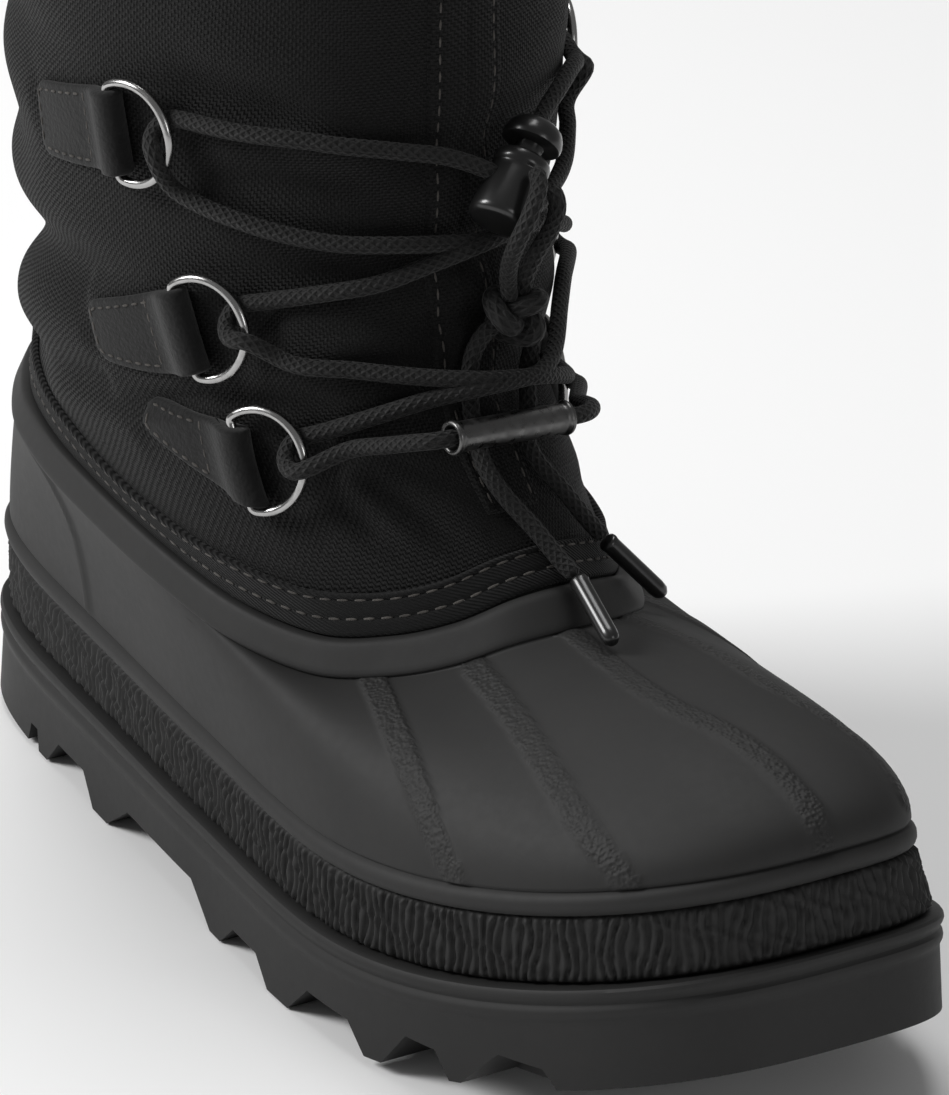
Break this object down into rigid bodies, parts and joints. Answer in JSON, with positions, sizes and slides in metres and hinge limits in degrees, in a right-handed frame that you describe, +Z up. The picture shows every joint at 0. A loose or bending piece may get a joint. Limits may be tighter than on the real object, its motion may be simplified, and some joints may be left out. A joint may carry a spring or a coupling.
{
  "type": "snow boot",
  "caption": "Winter pac boot with a moulded rubber foot, lugged sole, padded fabric shaft and a ring-laced front with a sprung cord lock.",
  "frame": {"origin": "bottom centre of the boot's bounding box, on the ground under the middle of the sole", "axes": "+X to the toe, +Y to the wearer's left, which is the inner side of this right boot, +Z up"},
  "size_m": [0.3197, 0.1275, 0.2621],
  "materials": {
    "sole_rubber": "matt, faintly pebbled",
    "shell_rubber": "satin moulded",
    "nylon": "coarse basket weave",
    "lining": "matt felt",
    "suede": "matt napped",
    "steel": "polished round wire",
    "gunmetal": "satin",
    "braid": "round braid",
    "lock_plastic": "glossy moulded"
  },
  "bodies": {
    "boot": {"outsole": "sole_rubber", "insole": "lining", "shell": "shell_rubber", "shaft": "nylon", "tab_top_outer": "suede", "tab_middle_outer": "suede", "tab_bottom_outer": "suede", "tab_top_inner": "suede", "tab_middle_inner": "suede", "tab_bottom_inner": "suede", "ring_top_outer": "steel", "ring_middle_outer": "steel", "ring_bottom_outer": "steel", "ring_top_inner": "steel", "ring_middle_inner": "steel", "ring_bottom_inner": "steel", "lace_top_outer": "braid", "lace_top_inner": "braid", "lace_upper_crossing": "braid", "lace_lower_crossing": "braid", "lace_through_tube": "braid", "lace_tube": "gunmetal", "lock_barrel": "lock_plastic", "lace_knot": "braid", "lace_end_outer": "braid", "lace_end_inner": "braid", "aglet_outer": "lock_plastic", "aglet_inner": "lock_plastic"},
    "button": {"lock_button": "lock_plastic"}
  },
  "joints": [
    {"name": "button_press", "type": "slide", "parent": "boot", "child": "button", "axis": [0.3581, -0.6501, -0.6701], "range_m": [0, 0.003], "stiffness_N_per_m": 1500, "springref_m": -0.001}
  ]
}
